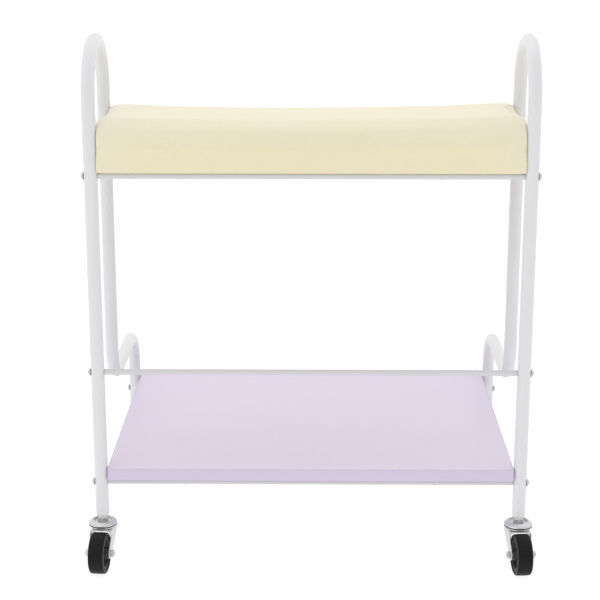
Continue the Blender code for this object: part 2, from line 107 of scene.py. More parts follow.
class TrolleySizes(bpy.types.PropertyGroup):
    """Sizes that the frame doesn't give."""

    tube_wall: metres("Tube wall", 0.0012, "Wall thickness of the bent tube")
    arch_radius: metres("Arch radius", 0.065, "Centreline radius of the arch")
    step_front_radius: metres("Step front radius", 0.045, "Bend below the second leg")
    step_rear_radius: metres("Step rear radius", 0.052, "Bend above the rear leg")
    step_over_shelf: metres("Step over shelf", 0.0677, "Step centreline above the shelf's top")
    cushion_front_radius: metres("Cushion front radius", 0.020, "Roll of its front top edge")
    cushion_rear_radius: metres("Cushion rear radius", 0.015, "Roll of its rear top edge")
    cushion_end_radius: metres("Cushion end radius", 0.0025, "Rounding of the cushion's ends")
    cushion_dish: metres("Cushion dish", 0.0044, "How far the cushion's middle lies below its ends")
    cushion_lean: metres("Cushion lean", 0.0012, "How far the right end stands above the left")
    cushion_swell: metres("Cushion swell", 0.0022, "How far the ends swell past the posts' faces")
    hem_height: metres("Hem height", 0.0014, "Cover drawn tight round the board's edge")
    hem_inset: metres("Hem inset", 0.0028, "How far the hem stands back under the cushion")
    hem_under: metres("Hem under", 0.016, "Cover turned in below the board")
    band_thickness: metres("Edge band", 0.0008, "Thickness of the shelf's edge band")
    fork_inside: metres("Fork inside", 0.012, "Half the space between the fork's legs")
    fork_plate: metres("Fork plate", 0.0016, "Thickness of the fork's steel")
    fork_bend: metres("Fork bend", 0.0042, "Centreline radius of the fork's shoulders")
    fork_boss: metres("Fork boss", 0.0065, "Radius of the leg's round foot about the axle")
    fork_reach: metres("Fork reach", 0.0162, "Half the leg's width at the crown")
    fork_knee: metres("Fork knee", 0.0090, "Crown down to where the legs taper")
    race_height: metres("Race height", 0.0026, "Raceway ring above the crown")
    race_groove: metres("Race groove", 0.0006, "Gap under the raceway ring's rim")
    race_throat: metres("Race throat", 0.0011, "Depth of that gap")
    cap_recess: metres("Cap recess", 0.0110, "Radius of the hollow round the stem's collar")
    pin: metres("Stem pin", 0.0040, "Radius of the caster's stem")
    collar_flats: metres("Collar flats", 0.0058, "Half the stem collar's width across flats")
    collar_height: metres("Collar height", 0.0040, "Height of the stem's hexagon collar")
    cap_depth: metres("Cap depth", 0.0028, "Depth of the hollow round the stem's collar")
    axle_pin: metres("Axle pin", 0.0025, "Radius of the axle bolt")
    axle_flats: metres("Axle flats", 0.0040, "Half the axle nut's width across flats")
    tyre_height: metres("Tyre height", 0.0060, "Tyre's thickness over the hub")
    tyre_half: metres("Tyre half width", 0.0095, "Half the tyre's width")
    tyre_shoulder: metres("Tyre shoulder", 0.0030, "Rounding of the tyre's shoulders")


class TrolleyColours(bpy.types.PropertyGroup):
    """Colours of the finishes, as linear values."""

    powder_coat: tint("Powder coat", (0.77, 0.77, 0.785), "White paint on the tubes")
    # The tubes' white paint darkened for the rails: painted shade on the thin rails.
    rail_painted_shade_coat: tint("Rail coat", (0.68, 0.68, 0.69), "Thinner white paint on the rails")
    vinyl: tint("Vinyl", (0.88, 0.80, 0.56), "Cushion cover")
    # Pale vinyl: the stretched cover at the ends, and the painted highlight over the top.
    vinyl_stretched_and_highlight: tint("Pale vinyl", (0.855, 0.82, 0.705), "Stretched cushion cover")
    laminate: tint("Laminate", (0.735, 0.665, 0.815), "Shelf board")
    laminate_edge: tint("Edge band", (0.68, 0.61, 0.775), "Shelf's edge band")
    zinc: tint("Zinc", (0.68, 0.685, 0.69), "Plated steel of casters and bolts")
    nylon: tint("White nylon", (0.80, 0.80, 0.79), "Plugs in the tube ends")
    hub: tint("Hub", (0.012, 0.012, 0.013), "Black moulded wheel hub")
    rubber: tint("Rubber", (0.0052, 0.0052, 0.0058), "Tyres")
    plywood: tint("Plywood", (0.56, 0.41, 0.24), "Cushion board")


def sizes():
    return bpy.context.scene.trolley_sizes


def colours():
    return bpy.context.scene.trolley_colours


# -------------------------------------------------------------------------- materials
class Value:
    """A shader socket that takes part in arithmetic: each operator adds a Math node."""

    def __init__(self, finish, socket):
        self.finish = finish
        self.socket = socket

    def maths(self, operation, first, second):
        made = self.finish.node("ShaderNodeMath", {"operation": operation}, {0: first, 1: second})
        return Value(self.finish, made.outputs[0])

    def __add__(self, other):
        return self.maths("ADD", self, other)

    def __sub__(self, other):
        return self.maths("SUBTRACT", self, other)

    def __rsub__(self, other):
        return self.maths("SUBTRACT", other, self)

    def __mul__(self, other):
        return self.maths("MULTIPLY", self, other)


class Finish:
    """A Principled material whose maps are written as expressions."""

    def __init__(self, name, **constants):
        self.material = bpy.data.materials.new(name)
        self.material.use_nodes = True
        self.tree = self.material.node_tree
        self.shader = self.tree.nodes["Principled BSDF"]
        for socket, number in constants.items():
            self.shader.inputs[socket.replace("_", " ")].default_value = number
        self.where = self.node("ShaderNodeTexCoord").outputs["Object"]

    def node(self, kind, settings=None, values=None):
        """Add one node: its settings first, then the values or links of its sockets."""
        made = self.tree.nodes.new(kind)
        for name, setting in (settings or {}).items():
            setattr(made, name, setting)
        for name, value in (values or {}).items():
            self.connect(made.inputs[name], value)
        return made

    def connect(self, socket, value):
        if isinstance(value, Value):
            value = value.socket
        if isinstance(value, bpy.types.NodeSocket):
            self.tree.links.new(value, socket)
        elif socket.type == "RGBA" and len(value) == 3:
            socket.default_value = (*value, 1.0)
        else:
            socket.default_value = value

    def noise(self, scale, detail=2.0, stretch=(1, 1, 1)):
        """Noise of about zero to one, so many waves a metre, times stretch on each axis."""
        place = self.node("ShaderNodeMapping", {}, {"Vector": self.where, "Scale": stretch})
        made = self.node("ShaderNodeTexNoise", {"noise_dimensions": "3D"},
                         {"Vector": place.outputs[0], "Scale": scale, "Detail": detail})
        return Value(self, made.outputs["Fac"])

    def cells(self, scale):
        """Distance to the nearest edge between cells, so many cells a metre."""
        made = self.node("ShaderNodeTexVoronoi", {"feature": "DISTANCE_TO_EDGE"},
                         {"Vector": self.where, "Scale": scale})
        return Value(self, made.outputs["Distance"])

    def axis(self, vector, index):
        """One of a vector's three values."""
        split = self.node("ShaderNodeSeparateXYZ", {}, {0: vector})
        return Value(self, split.outputs[index])

    def fade(self, value, low, high):
        """Zero below low, one above high, smooth between."""
        made = self.node("ShaderNodeMapRange", {"interpolation_type": "SMOOTHSTEP"},
                         {"Value": value, "From Min": low, "From Max": high})
        return Value(self, made.outputs["Result"])

    def band(self, value, low, high, soft):
        """One from low to high, zero beyond them, with edges as wide as soft."""
        return self.fade(value, low - soft, low) * (1 - self.fade(value, high, high + soft))

    def blend(self, mask, first, second):
        """The first colour where the mask is zero, the second where it is one."""
        made = self.node("ShaderNodeMix", {"data_type": "RGBA"},
                         {0: mask, 6: first, 7: second})
        return made.outputs[2]

    def feed(self, name, value):
        self.connect(self.shader.inputs[name], value)

    def bump(self, height, depth, strength):
        """Raise the surface by depth metres where height is one."""
        made = self.node("ShaderNodeBump", {},
                         {"Height": height, "Distance": depth, "Strength": strength})
        self.feed("Normal", made.outputs[0])


def darker(colour, share):
    return tuple(channel * share for channel in colour)


def powder_coat_finish(name, paint):
    """White polyester powder coat: a faint orange peel and a soft gloss."""
    finish = Finish(name, Coat_Weight=0.18, Coat_Roughness=0.16)
    clouds = finish.noise(scale=9.0, detail=3.0)
    finish.feed("Base Color", finish.blend(clouds, darker(paint, 0.975), paint))
    peel = finish.noise(scale=420.0, detail=1.0)
    finish.feed("Roughness", finish.noise(scale=60.0) * 0.10 + 0.33)
    finish.bump(peel, depth=0.00006, strength=0.35)
    return finish.material


def race_gaps():
    """Heights of a caster's two raceway gaps: below the cap, and below the ring.

    The first also takes in the edges of the cap and the ring.
    """
    ring_top = corners("caster_front_left_fork")[1][2]
    cap_bottom = corners("caster_front_left_cap")[0][2]
    crown = ring_top - sizes().race_height
    ring_edge, cap_edge, off_crown = 0.0003, 0.0004, 0.0001
    return ((ring_top - ring_edge, cap_bottom + cap_edge),
            (crown + off_crown, crown + sizes().race_groove))


def zinc_finish():
    """Bright zinc plate: a fine satin grain, cloudy reflections, and grease with painted shade
    darkening the raceway gaps.
    """
    zinc = tuple(colours().zinc)
    finish = Finish("bright_zinc", Metallic=0.82)
    clouds = finish.noise(scale=90.0, detail=3.0)
    height = finish.axis(finish.where, 2)
    # Grease and painted shade in the raceway gaps: there the base colour falls to a tenth of the
    # zinc's.
    grease_and_painted_shade = 0.0
    for low, high in race_gaps():
        grease_and_painted_shade = finish.band(height, low, high, soft=0.0002) + grease_and_painted_shade
    clean = finish.blend(clouds, darker(zinc, 0.92), zinc)
    finish.feed("Base Color", finish.blend(grease_and_painted_shade, clean, darker(zinc, 0.10)))
    grain = finish.noise(scale=1500.0, detail=2.0, stretch=(1.0, 1.0, 0.12))
    finish.feed("Roughness", grain * 0.08 + clouds * 0.08 + grease_and_painted_shade * 0.3 + 0.28)
    finish.bump(grain, depth=0.000008, strength=0.3)
    return finish.material


def vinyl_finish():
    """Soft upholstery vinyl: pebbled grain, pale where it is stretched over the ends, and a painted
    highlight that pales it towards the top.
    """
    cream, pale = tuple(colours().vinyl), tuple(colours().vinyl_stretched_and_highlight)
    finish = Finish("cream_vinyl", Sheen_Weight=0.06, Sheen_Roughness=0.4)
    pebble = finish.fade(finish.cells(scale=820.0), 0.0, 0.22)
    fine = finish.noise(scale=1900.0, detail=2.0)
    clouds = finish.noise(scale=11.0, detail=3.0)
    reach, _, top = corners("cushion_pad")[1]
    # Painted highlight: the cover pales towards its top, where the sheen catches the light.
    highlight_from, highlight_at = top - 0.040, top + 0.002
    height = finish.fade(finish.axis(finish.where, 2), highlight_from, highlight_at)
    along = finish.axis(finish.where, 0)
    end_zone = 0.80 * reach
    ends = finish.fade(along * along, end_zone ** 2, reach ** 2)
    # height brings the painted highlight, clouds a random tone, ends the paleness of the stretched
    # cover.
    tone = finish.blend(height * 0.62 + clouds * 0.12 + ends * 0.35, cream, pale)
    finish.feed("Base Color", finish.blend(pebble * 0.9 + 0.1, darker(cream, 0.95), tone))
    finish.feed("Roughness", 0.52 - pebble * 0.08 + clouds * 0.06)
    finish.bump(pebble * 0.8 + fine * 0.2, depth=0.00012, strength=0.3)
    return finish.material


def laminate_finish(name, colour):
    """Melamine-faced board: an even lilac with a faint mottle and a fine texture."""
    finish = Finish(name, Specular_IOR_Level=0.45)
    mottle = finish.noise(scale=34.0, detail=5.0)
    speck = finish.noise(scale=700.0, detail=1.0)
    marks = mottle * 0.7 + speck * 0.3
    finish.feed("Base Color", finish.blend(marks, darker(colour, 0.965), colour))
    finish.feed("Roughness", mottle * 0.10 + 0.36)
    finish.bump(finish.noise(scale=1300.0, detail=2.0), depth=0.00003, strength=0.35)
    return finish.material


def moulded_finish(name, colour, roughness):
    """Injection-moulded nylon: even colour, a spark-eroded texture and slight flow marks."""
    finish = Finish(name)
    flow = finish.noise(scale=70.0, detail=3.0)
    finish.feed("Base Color", finish.blend(flow, darker(colour, 0.88), colour))
    finish.feed("Roughness", flow * 0.12 + roughness)
    finish.bump(finish.noise(scale=2200.0, detail=1.0), depth=0.00003, strength=0.4)
    return finish.material


def rubber_finish():
    """Black tyre rubber: dusty tread, and a painted highlight, a pale line along each rounded
    shoulder.

    The piece's UV map runs round the wheel in U and across its profile in V.
    """
    black = tuple(colours().rubber)
    finish = Finish("black_rubber", Specular_IOR_Level=0.2)
    around = finish.node("ShaderNodeUVMap", {"uv_map": "profile"})
    across = finish.axis(around.outputs[0], 1)
    dust = finish.noise(scale=260.0, detail=4.0)
    tread = finish.blend(finish.fade(dust, 0.45, 0.8), black, darker(black, 2.0))
    # Painted highlight where the rounding of each shoulder catches the light.
    near_highlight = finish.band(across, 0.283, 0.292, soft=0.008)
    far_highlight = finish.band(across, 0.708, 0.717, soft=0.008)
    highlight_grey = (0.12, 0.12, 0.125)
    finish.feed("Base Color", finish.blend(near_highlight + far_highlight, tread, highlight_grey))
    finish.feed("Roughness", dust * 0.25 + 0.42)
    finish.bump(finish.noise(scale=900.0, detail=2.0), depth=0.00005, strength=0.5)
    return finish.material


def plywood_finish():
    """Birch plywood: long grain on the faces and stacked plies on the edges."""
    wood = tuple(colours().plywood)
    finish = Finish("birch_plywood", Specular_IOR_Level=0.3)
    grain = finish.noise(scale=60.0, detail=6.0, stretch=(0.12, 1.0, 1.0))
    plies = finish.noise(scale=1.0, detail=0.0, stretch=(0.0, 0.0, 620.0))
    finish.feed("Base Color", finish.blend(grain * 0.7 + plies * 0.3, darker(wood, 0.55), wood))
    finish.feed("Roughness", grain * 0.2 + 0.55)
    finish.bump(grain, depth=0.0001, strength=0.4)
    return finish.material


FINISHES = {
    "powder_coat": lambda: powder_coat_finish("white_powder_coat", tuple(colours().powder_coat)),
    # The rails take the tubes' powder coat darkened, as painted shade.
    "rail_painted_shade_coat": lambda: powder_coat_finish("white_rail_painted_shade_coat", tuple(colours().rail_painted_shade_coat)),
    "zinc": zinc_finish,
    "cream_vinyl": vinyl_finish,
    "lilac_board": lambda: laminate_finish("lilac_laminate", tuple(colours().laminate)),
    "edge_band": lambda: laminate_finish("lilac_edge_band", tuple(colours().laminate_edge)),
    "plywood": plywood_finish,
    "white_nylon": lambda: moulded_finish("white_nylon", tuple(colours().nylon), 0.38),
    "black_nylon": lambda: moulded_finish("black_nylon", tuple(colours().hub), 0.34),
    "black_rubber": rubber_finish,
}
MADE = {}


def finish_of(slot_name):
    if slot_name not in MADE:
        MADE[slot_name] = FINISHES[slot_name]()
    return MADE[slot_name]


# --------------------------------------------------------------------------- surfaces
def added(name, data):
    """Put a mesh, a lamp's data or a camera's into the scene."""
    made = bpy.data.objects.new(name, data)
    bpy.context.collection.objects.link(made)
    return made


def new_mesh(name, points, faces, uvs=None):
    """A mesh from arrays, with its faces turned outwards."""
    mesh = bpy.data.meshes.new(name)
    mesh.from_pydata(points.tolist(), [], faces)
    if uvs is not None:
        mesh.uv_layers.new(name="profile").data.foreach_set("uv", uvs.ravel())
    mesh.update()
    if signed_volume(mesh) < 0:
        mesh.flip_normals()
    return mesh


def piece(name, surface, slot_name, body, replaced=(), crease=38):
    """Make an object of points, faces and UVs, with its finish, that rides on its body."""
    mesh = new_mesh(name, *surface)
    mesh.shade_smooth()
    mesh.set_sharp_from_angle(angle=math.radians(crease))
    made = added(name, mesh)
    mesh.materials.append(finish_of(slot_name))
    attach(made, body)
    if replaced:
        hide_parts(*replaced)


def signed_volume(mesh):
    """Sum over the triangles of a . (b x c) / 6: positive where the faces point outwards."""
    mesh.calc_loop_triangles()
    places = np.empty(len(mesh.vertices) * 3)
    mesh.vertices.foreach_get("co", places)
    corner = np.empty(len(mesh.loop_triangles) * 3, dtype=np.int32)
    mesh.loop_triangles.foreach_get("vertices", corner)
    a, b, c = places.reshape(-1, 3)[corner.reshape(-1, 3)].transpose(1, 0, 2)
    return float(np.einsum("ij,ij->i", a, np.cross(b, c)).sum() / 6)


def skin(grid, closed=False):
    """Points, faces and UVs over a grid of points, each row of which is a closed ring.

    U runs along a row and V from the first row to the last.  If closed, the last row joins
    the first; otherwise a fan caps each end row.
    """
    rows, columns, _ = grid.shape
    index = np.arange(rows * columns).reshape(rows, columns)
    upper = np.roll(index, -1, axis=0) if closed else index[1:]
    lower = index if closed else index[:-1]
    quads = np.stack([lower, np.roll(lower, -1, 1), np.roll(upper, -1, 1), upper], -1)
    u = np.arange(columns) / columns
    v = np.arange(len(lower)) / len(lower)
    step_u, step_v = 1 / columns, v[1] - v[0]
    across, along = np.meshgrid(u, v)
    uvs = np.stack([np.stack([across, along], -1), np.stack([across + step_u, along], -1),
                    np.stack([across + step_u, along + step_v], -1),
                    np.stack([across, along + step_v], -1)], 2).reshape(-1, 2)
    points = grid.reshape(-1, 3)
    faces = quads.reshape(-1, 4).tolist()
    for ring, level in () if closed else ((index[0], 0.0), (index[-1], 1.0)):
        centre = len(points)
        points = np.vstack([points, points[ring].mean(axis=0)])
        fan = np.stack([np.roll(ring, -1), ring, np.full(columns, centre)], -1)
        faces += (fan[:, ::-1] if level else fan).tolist()
        uvs = np.vstack([uvs, np.full((columns * 3, 2), level)])
    return points, faces, uvs


def rounded(points, segments=4):
    """A profile whose corners are rounded: points are (a, b, radius), as an open line.

    At a corner the arc touches both sides, and its points are the corner's centre plus
    the radius times the direction swept from one tangent point to the other.
    """
    line = [np.array(points[0][:2])]
    for before, here, after in zip(points, points[1:], points[2:]):
        corner = np.array(here[:2])
        back = np.array(before[:2]) - corner
        ahead = np.array(after[:2]) - corner
        reach = min(np.linalg.norm(back), np.linalg.norm(ahead)) / 2
        back, ahead = back / np.linalg.norm(back), ahead / np.linalg.norm(ahead)
        half = math.acos(np.clip(back @ ahead, -1, 1)) / 2
        radius = min(here[2], reach * math.tan(half))
        if radius < 1e-6 or half > math.pi / 2 - 0.01:
            line.append(corner)
            continue
        centre = corner + (back + ahead) / np.linalg.norm(back + ahead) * radius / math.sin(half)
        first = corner + back * radius / math.tan(half) - centre
        last = corner + ahead * radius / math.tan(half) - centre
        sweep = math.atan2(first[0] * last[1] - first[1] * last[0], first @ last)
        for turn in np.linspace(0, sweep, segments + 1):
            spin = np.array([[math.cos(turn), -math.sin(turn)], [math.sin(turn), math.cos(turn)]])
            line.append(centre + spin @ first)
    line.append(np.array(points[-1][:2]))
    return np.array(line)


def ring_angles(columns):
    return np.linspace(0, math.tau, columns, endpoint=False)


def turned(profile, columns):
    """Rows of rings about Z: radius and height of each profile point."""
    angle = ring_angles(columns)
    radius, height = profile[:, 0, None], profile[:, 1, None]
    return np.stack([radius * np.cos(angle), radius * np.sin(angle), height + 0 * angle], -1)


def hexagonal(profile, columns=72, softness=0.0004):
    """Rows of rings about Z, round or drawn in to a hexagon.

    Each row gives the radius of the corners' circle, the height, 1 for a hexagon, and the
    distance of its flats.  On a flat, the radius is that distance over cos(angle from the
    flat's middle), less softness times the angle squared.  A row whose circle is smaller
    than the hexagon's keeps its own radius at the corners, which gives the chamfer.
    """
    angle = ring_angles(columns)
    off_flat = (angle + math.pi / 6) % (math.pi / 3) - math.pi / 6
    circle, height, is_hexagon, flat = (column[:, None] for column in np.array(profile).T)
    radius = circle + 0 * angle
    facet = flat / np.cos(off_flat) - softness * off_flat ** 2
    radius = np.where(is_hexagon > 0, np.minimum(radius, facet), radius)
    return np.stack([radius * np.cos(angle), radius * np.sin(angle), height + 0 * angle], -1)


def moved(grid, matrix):
    return grid @ matrix[:3, :3].T + matrix[:3, 3]


def frame_matrix(origin, x_axis, y_axis, z_axis):
    matrix = np.eye(4)
    matrix[:3, 0], matrix[:3, 1], matrix[:3, 2], matrix[:3, 3] = x_axis, y_axis, z_axis, origin
    return matrix


def facing(origin, way):
    """A frame at origin whose Z looks along a level direction."""
    way = np.array(way, float) / np.linalg.norm(way)
    return frame_matrix(origin, np.array([0, 0, 1.0]), np.cross(way, [0, 0, 1.0]), way)


# ------------------------------------------------------------------------ side frames
def bent_route(start, moves, step=0.006):
    """Points and headings along straights (length,) and bends (degrees, radius) in Y-Z.

    The heading starts upwards.  On a bend the points keep the radius from its centre, and
    lie about five degrees apart; on a straight they lie about four steps apart.
    """
    here, turned_by = np.array(start, float), 0.0
    places, turns = [here.copy()], [0.0]
    for move in moves:
        if len(move) == 1:
            way = np.array([math.sin(turned_by), math.cos(turned_by)])
            count = max(1, int(move[0] / (step * 4)))
            for share in np.linspace(0, 1, count + 1)[1:]:
                places.append(here + way * move[0] * share)
                turns.append(turned_by)
            here = here + way * move[0]
        else:
            sweep, radius = math.radians(move[0]), move[1]
            side = np.array([math.cos(turned_by), -math.sin(turned_by)]) * math.copysign(1, sweep)
            centre = here + side * radius
            for share in np.linspace(0, 1, max(6, int(abs(move[0]) / 5)) + 1)[1:]:
                turn = turned_by + sweep * share
                out = np.array([-math.cos(turn), math.sin(turn)]) * math.copysign(1, sweep)
                places.append(centre + out * radius)
                turns.append(turn)
            here, turned_by = places[-1], turned_by + sweep
    return np.array(places), np.array(turns)


def tube_rings(x, places, turns, radius, columns=40):
    """Rings square to the route: centre + radius (cos a X + sin a N), N across the heading."""
    angle = ring_angles(columns)
    across = np.stack([np.cos(turns), -np.sin(turns)], -1)
    flat = places[:, None, :] + radius * np.sin(angle)[None, :, None] * across[:, None, :]
    sideways = x + radius * np.cos(angle)[None, :] + 0 * places[:, :1]
    return np.concatenate([sideways[..., None], flat], -1)


def side_frame_moves(low, high, step_z):
    size = sizes()
    tube = (high[0] - low[0]) / 2
    post = high[2] - low[2] - tube - size.arch_radius
    second_y = low[1] + tube + 2 * size.arch_radius
    rear_y = high[1] - tube
    return [
        (post,), (180, size.arch_radius),
        (low[2] + post - step_z - size.step_front_radius,),
        (-90, size.step_front_radius),
        (rear_y - size.step_rear_radius - second_y - size.step_front_radius,),
        (90, size.step_rear_radius),
        (step_z - size.step_rear_radius - low[2],),
    ]


class TROLLEY_OT_side_frames(bpy.types.Operator):
    """Bent tubes: one round tube swept along straights and arcs, with its bore"""

    bl_idname = "trolley.side_frames"
    bl_label = "Side frames"

    def execute(self, context):
        step_z = corners("shelf_board")[1][2] + sizes().step_over_shelf
        for side in SIDES:
            low, high = corners("side_frame_" + side)
            tube = (high[0] - low[0]) / 2
            start = (low[1] + tube, low[2])
            places, turns = bent_route(start, side_frame_moves(low, high, step_z))
            x = (low[0] + high[0]) / 2
            outer = tube_rings(x, places, turns, tube)
            inner = tube_rings(x, places, turns, tube - sizes().tube_wall)
            grid = np.concatenate([outer, inner[::-1]])
            piece("bent_tube_" + side, skin(grid, closed=True), "powder_coat", "trolley",
                  ["side_frame_" + side], crease=50)
        return {"FINISHED"}


# --------------------------------------------------------------------- rails and bolts
class TROLLEY_OT_rails(bpy.types.Operator):
    """Cross rails: solid rods with softened ends, turned about their own length"""

    bl_idname = "trolley.rails"
    bl_label = "Cross rails"

    def execute(self, context):
        for rail in RAILS:
            low, high = corners(rail + "_rail")
            radius = (high[2] - low[2]) / 2
            reach = high[0]
            end_face, edge, last_ring, rings = radius * 0.62, radius * 0.2, reach * 0.98, 9
            profile = rounded([(end_face, -reach, 0), (radius, -reach, edge),
                               (radius, reach, edge), (end_face, reach, 0)])
            long_way = np.linspace(-last_ring, last_ring, rings)
            middle_rows = np.stack([np.full(rings, radius), long_way], -1)
            cut = len(profile) // 2
            profile = np.concatenate([profile[:cut], middle_rows, profile[cut:]])
            grid = moved(turned(profile, 32), facing(middle(rail + "_rail"), (1, 0, 0)))
            piece(rail + "_rod", skin(grid), "rail_painted_shade_coat", "trolley", [rail + "_rail"])
        return {"FINISHED"}


def dome_bolt_grid(head_radius, head_height, shank_radius, length):
    """A domed head with a hexagon socket, on a plain shank.

    Rows run from the socket's floor, over the dome, to the shank's tip.  The socket's
    rings are drawn in to a hexagon; the dome is a quarter ellipse.
    """
    socket, floor, sunk = head_radius * 0.36, head_height * 0.42, 0.0002
    corner, mouth, wall_top = socket * 1.2, socket * 1.3, head_height * 0.96
    rows = [(socket * 0.5, floor - sunk, 1, socket * 0.44), (corner, floor, 1, socket),
            (corner, wall_top, 1, socket), (mouth, head_height, 0, 0)]
    for angle in np.radians([74, 62, 50, 38, 26, 14, 5]):
        rows.append((head_radius * math.cos(angle), head_height * math.sin(angle), 0, 0))
    under_edge, chamfer, tip = head_radius * 0.985, shank_radius * 0.3, shank_radius * 0.7
    rows += [(under_edge, 0, 0, 0), (shank_radius, 0, 0, 0),
             (shank_radius, -length + chamfer, 0, 0), (tip, -length, 0, 0)]
    return hexagonal(rows, 48)


class TROLLEY_OT_bolts(bpy.types.Operator):
    """Rail bolts: domed heads with hexagon sockets; and the finish of the boards' screws"""

    bl_idname = "trolley.bolts"
    bl_label = "Rail bolts"

    def execute(self, context):
        for rail in RAILS:
            for side in SIDES:
                node = f"{rail}_bolt_{side}"
                low, high = corners(node)
                sign = SIGN[side]
                tube_face = corners("side_frame_" + side)[(sign + 1) // 2][0]
                outer, tip = (high[0], low[0]) if sign > 0 else (low[0], high[0])
                height = abs(outer - tube_face) - CLEARANCE
                origin = (outer - sign * height, *middle(node)[1:])
                head_radius, shank = (high[2] - low[2]) / 2, 0.002
                grid = dome_bolt_grid(head_radius, height, shank, abs(origin[0] - tip))
                surface = skin(moved(grid, facing(origin, (sign, 0, 0))))
                piece(f"{rail}_dome_bolt_{side}", surface, "zinc", "trolley", [node], 30)
        for node in frame["nodes"]:
            if "_screw_" in node:
                paint(node, "zinc")
        return {"FINISHED"}


def paint(node, slot_name):
    """Give a CAD node that stays its finish."""
    mesh = frame["nodes"][node].data
    if not mesh.materials:
        mesh.materials.append(finish_of(slot_name))
    for slot in frame["nodes"][node].material_slots:
        slot.material = finish_of(slot_name)


# ------------------------------------------------------------------------------ shelf
def outline_rings(centre, half, corner, insets, heights, columns_per_side, arc_steps=6):
    """Rings round a rectangle with rounded corners, each inset and lifted by its row.

    A corner point is the corner's centre plus its radius less the inset, along the
    direction that turns a quarter circle; a side is shared out evenly.  Past the
    radius, a ring is drawn in on each axis in proportion to its distance from the middle.
    """
    straight = np.array(half[:2]) - corner
    quarters = np.array([(1, 1), (-1, 1), (-1, -1), (1, -1)])
    directions, bases = [], []
    for quarter in range(4):
        base, target = quarters[quarter] * straight, quarters[(quarter + 1) % 4] * straight
        for turn in np.linspace(0, math.pi / 2, arc_steps + 1):
            angle = quarter * math.pi / 2 + turn
            directions.append((math.cos(angle), math.sin(angle)))
            bases.append(base)
        angle = (quarter + 1) * math.pi / 2
        for share in np.linspace(0, 1, columns_per_side + 1)[1:-1]:
            directions.append((math.cos(angle), math.sin(angle)))
            bases.append(base + (target - base) * share)
    directions, bases = np.array(directions), np.array(bases)
    reach = corner - np.array(insets)[:, None, None]
    flat = bases + directions * np.maximum(reach, 0.0)
    flat = flat + np.minimum(reach, 0.0) * (bases / straight) + centre[:2]
    height = np.array(heights)[:, None, None] + 0 * flat[..., :1]
    return np.concatenate([flat, height], -1)


def slab_rows(low_z, high_z, edge, steps=4):
    """Insets and heights of a slab's edge from its underside to its top.

    The edges turn through quarter circles, and the end rows lie four radii in.
    """
    turn = np.linspace(0, math.pi / 2, steps + 1)
    across, along = edge * (1 - np.sin(turn)), edge * (1 - np.cos(turn))
    insets = np.concatenate([[edge * 4], across, along, [edge * 4]])
    heights = np.concatenate([[low_z], low_z + along,
                              high_z - edge + edge * np.sin(turn), [high_z]])
    return insets, heights


class TROLLEY_OT_shelf(bpy.types.Operator):
    """Shelf: a laminated board and the thin band round its edge"""

    bl_idname = "trolley.shelf"
    bl_label = "Shelf"

    def execute(self, context):
        low, high = corners("shelf_board")
        centre, half = (low + high) / 2, (high - low) / 2
        band, band_corner, panel_corner = sizes().band_thickness, 0.0020, 0.0012
        panel_edge, band_edge, sunk, columns = 0.0005, 0.0006, 0.0001, 24
        insets, heights = slab_rows(low[2], high[2], panel_edge)
        grid = outline_rings(centre, half - band, panel_corner, insets, heights, columns)
        piece("shelf_panel", skin(grid), "lilac_board", "trolley", ["shelf_board"])
        insets, heights = slab_rows(low[2], high[2], band_edge, steps=3)
        insets = [*insets[1:-1], band, band]
        heights = [*heights[1:-1], high[2] - sunk, low[2] + sunk]
        grid = outline_rings(centre, half, band_corner, insets, heights, columns)
        piece("shelf_edge_band", skin(grid, closed=True), "edge_band", "trolley")
        return {"FINISHED"}


# ---------------------------------------------------------------------------- cushion
def superround(value, half, radius):
    """How far a rounded edge has fallen at value: zero inside, radius at the very edge."""
    past = np.clip(np.abs(value) - (half - radius), 0, radius)
    return radius - np.sqrt(np.maximum(radius ** 2 - past ** 2, 0))


def cushion_start(low, high):
    """The padding before it is blown up: a rounded bar with a lengthways dish.

    Columns run round the section in Y-Z and rows along X.  The section is a rectangle
    with one radius at the front top edge, one at the rear, and a small one below.  At
    both ends the section draws in by a quarter circle.
    """
    size = sizes()
    front, rear = low[1] + FOAM_INSET / 2, high[1] - FOAM_INSET
    bottom, top = low[2] - FOAM_INSET, high[2] - FOAM_INSET
    small = 0.0015
    centre = np.array([(front + rear) / 2, (bottom + top) / 2])
    seam = (centre[0], bottom, 0)
    section = resample(rounded([
        seam, (front, bottom, small), (front, top, size.cushion_front_radius),
        (rear, top, size.cushion_rear_radius), (rear, bottom, small), seam], 10), 120)
    half_length = (high[0] - low[0]) / 2 + size.cushion_swell
    edge = size.cushion_end_radius
    inner = np.linspace(-1, 1, 81) * (half_length - edge)
    turn = np.linspace(0, math.pi / 2, 6)[1:]
    xs = np.concatenate([-(half_length - edge) - edge * np.sin(turn[::-1]), inner,
                         half_length - edge + edge * np.sin(turn)])
    draw = superround(xs, half_length, edge)
    rows = []
    for x, inset in zip(xs, draw):
        away = section - centre
        reach = np.abs(away).max(axis=0)
        ring = centre + away * (1 - inset / reach)
        lift = np.clip((ring[:, 1] - bottom) / (top - bottom), 0, 1)
        dish = size.cushion_dish * (1 - (x / half_length) ** 2)
        ring[:, 1] -= (dish - size.cushion_lean * x / half_length) * lift
        rows.append(np.column_stack([np.full(len(ring), x), ring]))
    return np.array(rows)


def resample(line, count):
    """So many points spread evenly round a closed line."""
    closed = np.vstack([line, line[:1]])
    lengths = np.concatenate([[0], np.cumsum(np.linalg.norm(np.diff(closed, axis=0), axis=1))])
    wanted = np.linspace(0, lengths[-1], count, endpoint=False)
    return np.stack([np.interp(wanted, lengths, closed[:, 0]),
                     np.interp(wanted, lengths, closed[:, 1])], -1)


